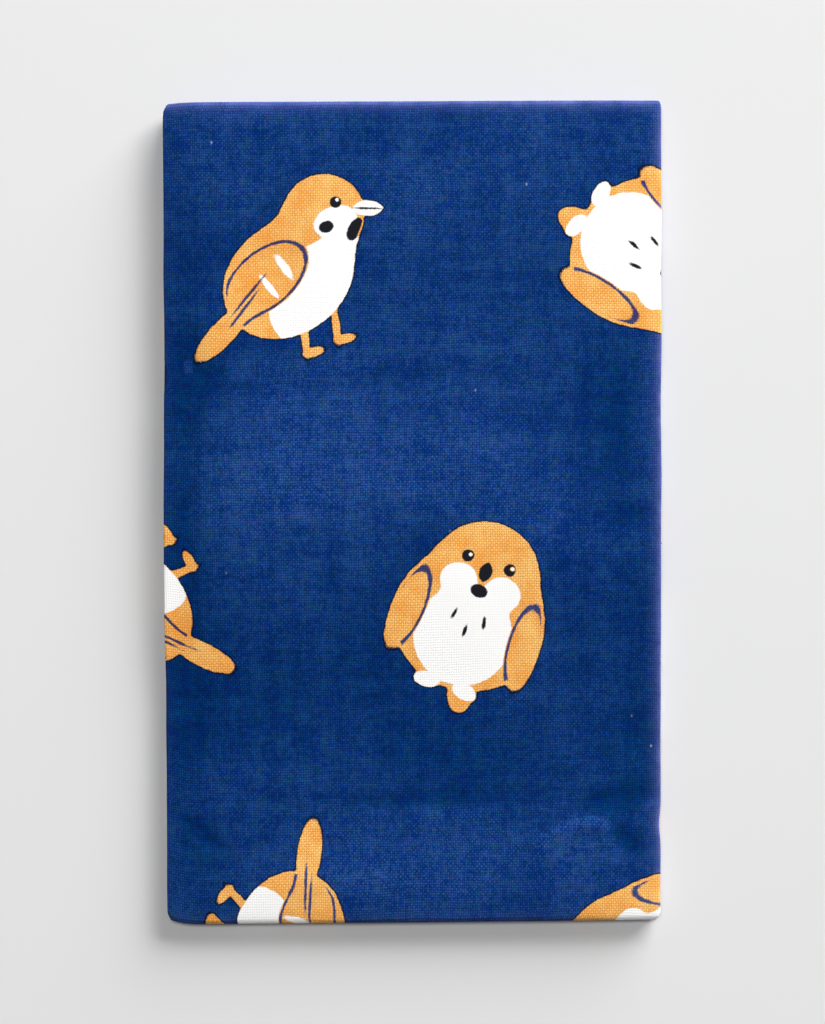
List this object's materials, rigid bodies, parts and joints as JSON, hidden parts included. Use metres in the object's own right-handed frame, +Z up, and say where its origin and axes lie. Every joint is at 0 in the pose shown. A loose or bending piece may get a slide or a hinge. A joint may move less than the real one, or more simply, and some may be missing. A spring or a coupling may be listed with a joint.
{
  "type": "folded tenugui towel",
  "caption": "Thin plain-weave cotton hand towel, folded in thirds and then back and forth to a flat pack.",
  "frame": {"origin": "centre of the pack's outline seen from above, on the surface that it lies on", "axes": "+Z up out of the face, +Y along the pack's length towards the top of the picture, +X to the right"},
  "size_m": [0.1212, 0.2006, 0.0074],
  "materials": {
    "dyed_cotton": "matt plain weave, navy with a tan and white print"
  },
  "bodies": {
    "root": {"tenugui_cloth": "dyed_cotton"}
  },
  "joints": []
}
